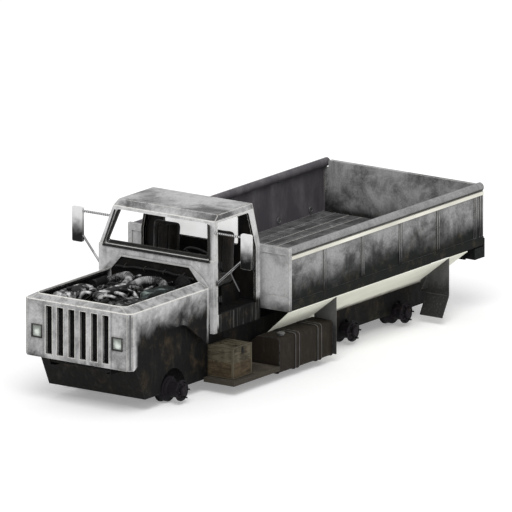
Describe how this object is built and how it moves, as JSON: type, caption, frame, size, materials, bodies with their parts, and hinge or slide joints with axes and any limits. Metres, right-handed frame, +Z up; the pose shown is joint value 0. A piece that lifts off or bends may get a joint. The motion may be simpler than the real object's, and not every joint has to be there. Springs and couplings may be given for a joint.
{
  "type": "military cargo truck",
  "caption": "Six-wheel-drive cargo truck stripped to bare hub ends, with open nose and engine, hollow cab without doors or glass, and a dropside-height steel cargo bed.",
  "frame": {"origin": "on the floor, under the middle of the truck's bounding box", "axes": "+X to the truck's left, +Y to its rear, +Z up"},
  "size_m": [2.768, 7.222, 2.247],
  "materials": {
    "frame": "weathered",
    "underpan": "weathered",
    "skirt": "weathered",
    "axle": "weathered",
    "spring": "weathered",
    "exhaust": "weathered",
    "radiator": "weathered",
    "engine_iron": "weathered",
    "engine_alloy": "weathered",
    "fittings": "weathered",
    "nose_paint": "weathered",
    "lamp": "weathered",
    "firewall_paint": "weathered",
    "cab_paint": "weathered",
    "cab_floor_paint": "weathered",
    "seat_cloth": "weathered",
    "dash_plastic": "weathered",
    "mirror_plastic": "weathered",
    "bed_paint": "weathered",
    "bed_floor_paint": "weathered",
    "pane_glass": "weathered",
    "splash_paint": "weathered",
    "flap_rubber": "weathered",
    "tank_paint": "weathered",
    "step_steel": "weathered",
    "box_wood": "weathered",
    "lamp_box": "weathered",
    "hub_iron": "weathered"
  },
  "bodies": {
    "truck": {"chassis_frame": "frame", "crossmembers": "frame", "front_underpan": "underpan", "inner_skirts": "skirt", "axles": "axle", "leaf_springs": "spring", "dampers": "spring", "driveline": "axle", "exhaust": "exhaust", "radiator": "radiator", "engine_block": "engine_iron", "engine_top": "engine_alloy", "engine_fittings": "fittings", "grille_panel": "nose_paint", "headlamps": "lamp", "bonnet_rim": "nose_paint", "fender_left": "nose_paint", "fender_right": "nose_paint", "cowl": "nose_paint", "firewall": "firewall_paint", "windscreen_frame": "cab_paint", "cab_side_left": "cab_paint", "cab_side_right": "cab_paint", "cab_rear_wall": "cab_paint", "rear_glass": "pane_glass", "cab_roof": "cab_paint", "cab_floor": "cab_floor_paint", "seats": "seat_cloth", "dashboard": "dash_plastic", "mirrors": "mirror_plastic", "bed_floor": "bed_floor_paint", "bed_sills": "frame", "bed_headboard": "bed_paint", "bed_side_left": "bed_paint", "bed_side_right": "bed_paint", "splash_panels": "splash_paint", "mud_flaps": "flap_rubber", "fuel_tanks": "tank_paint", "steps": "step_steel", "stowage_boxes": "box_wood", "rear_beam": "lamp_box"},
    "knuckle_left": {"knuckle_left": "axle"},
    "knuckle_right": {"knuckle_right": "axle"},
    "tie_rod": {"tie_rod": "axle"},
    "steering_wheel": {"steering_wheel": "dash_plastic"},
    "tailgate": {"tailgate": "bed_paint"},
    "hub_front_left": {"hub_front_left": "hub_iron"},
    "hub_front_right": {"hub_front_right": "hub_iron"},
    "hub_middle_left": {"hub_middle_left": "hub_iron"},
    "hub_middle_right": {"hub_middle_right": "hub_iron"},
    "hub_rear_left": {"hub_rear_left": "hub_iron"},
    "hub_rear_right": {"hub_rear_right": "hub_iron"}
  },
  "joints": [
    {"name": "steer_left", "type": "hinge", "parent": "truck", "child": "knuckle_left", "pos_m": [0.519, -2.569, 0.18], "axis": [0, 0, 1], "range_deg": [-28, 28]},
    {"name": "steer_right", "type": "hinge", "parent": "truck", "child": "knuckle_right", "pos_m": [-0.519, -2.569, 0.18], "axis": [0, 0, 1], "range_deg": [-28, 28]},
    {"name": "tie_rod_pivot", "type": "hinge", "parent": "knuckle_left", "child": "tie_rod", "pos_m": [0.519, -2.394, 0.105], "axis": [0, 0, 1], "range_deg": [-28, 28]},
    {"name": "spin_front_left", "type": "hinge", "parent": "knuckle_left", "child": "hub_front_left", "pos_m": [0.886, -2.569, 0.18], "axis": [1, 0, 0], "continuous": true},
    {"name": "spin_front_right", "type": "hinge", "parent": "knuckle_right", "child": "hub_front_right", "pos_m": [-0.886, -2.569, 0.18], "axis": [1, 0, 0], "continuous": true},
    {"name": "spin_middle_left", "type": "hinge", "parent": "truck", "child": "hub_middle_left", "pos_m": [0.886, 1.201, 0.18], "axis": [1, 0, 0], "continuous": true},
    {"name": "spin_middle_right", "type": "hinge", "parent": "truck", "child": "hub_middle_right", "pos_m": [-0.886, 1.201, 0.18], "axis": [1, 0, 0], "continuous": true},
    {"name": "spin_rear_left", "type": "hinge", "parent": "truck", "child": "hub_rear_left", "pos_m": [0.886, 2.381, 0.18], "axis": [1, 0, 0], "continuous": true},
    {"name": "spin_rear_right", "type": "hinge", "parent": "truck", "child": "hub_rear_right", "pos_m": [-0.886, 2.381, 0.18], "axis": [1, 0, 0], "continuous": true},
    {"name": "steering_wheel_turn", "type": "hinge", "parent": "truck", "child": "steering_wheel", "pos_m": [0.405, -1.489, 1.62], "axis": [0, 0.72, 0.694], "range_deg": [-504, 504]},
    {"name": "tailgate_drop", "type": "hinge", "parent": "truck", "child": "tailgate", "pos_m": [0, 3.576, 0.992], "axis": [-1, 0, 0], "range_deg": [0, 90]}
  ],
  "couplings": [
    {"joint": "steer_right", "follows": "steer_left", "ratio": 1},
    {"joint": "tie_rod_pivot", "follows": "steer_left", "ratio": -1},
    {"joint": "steering_wheel_turn", "follows": "steer_left", "ratio": 18}
  ]
}
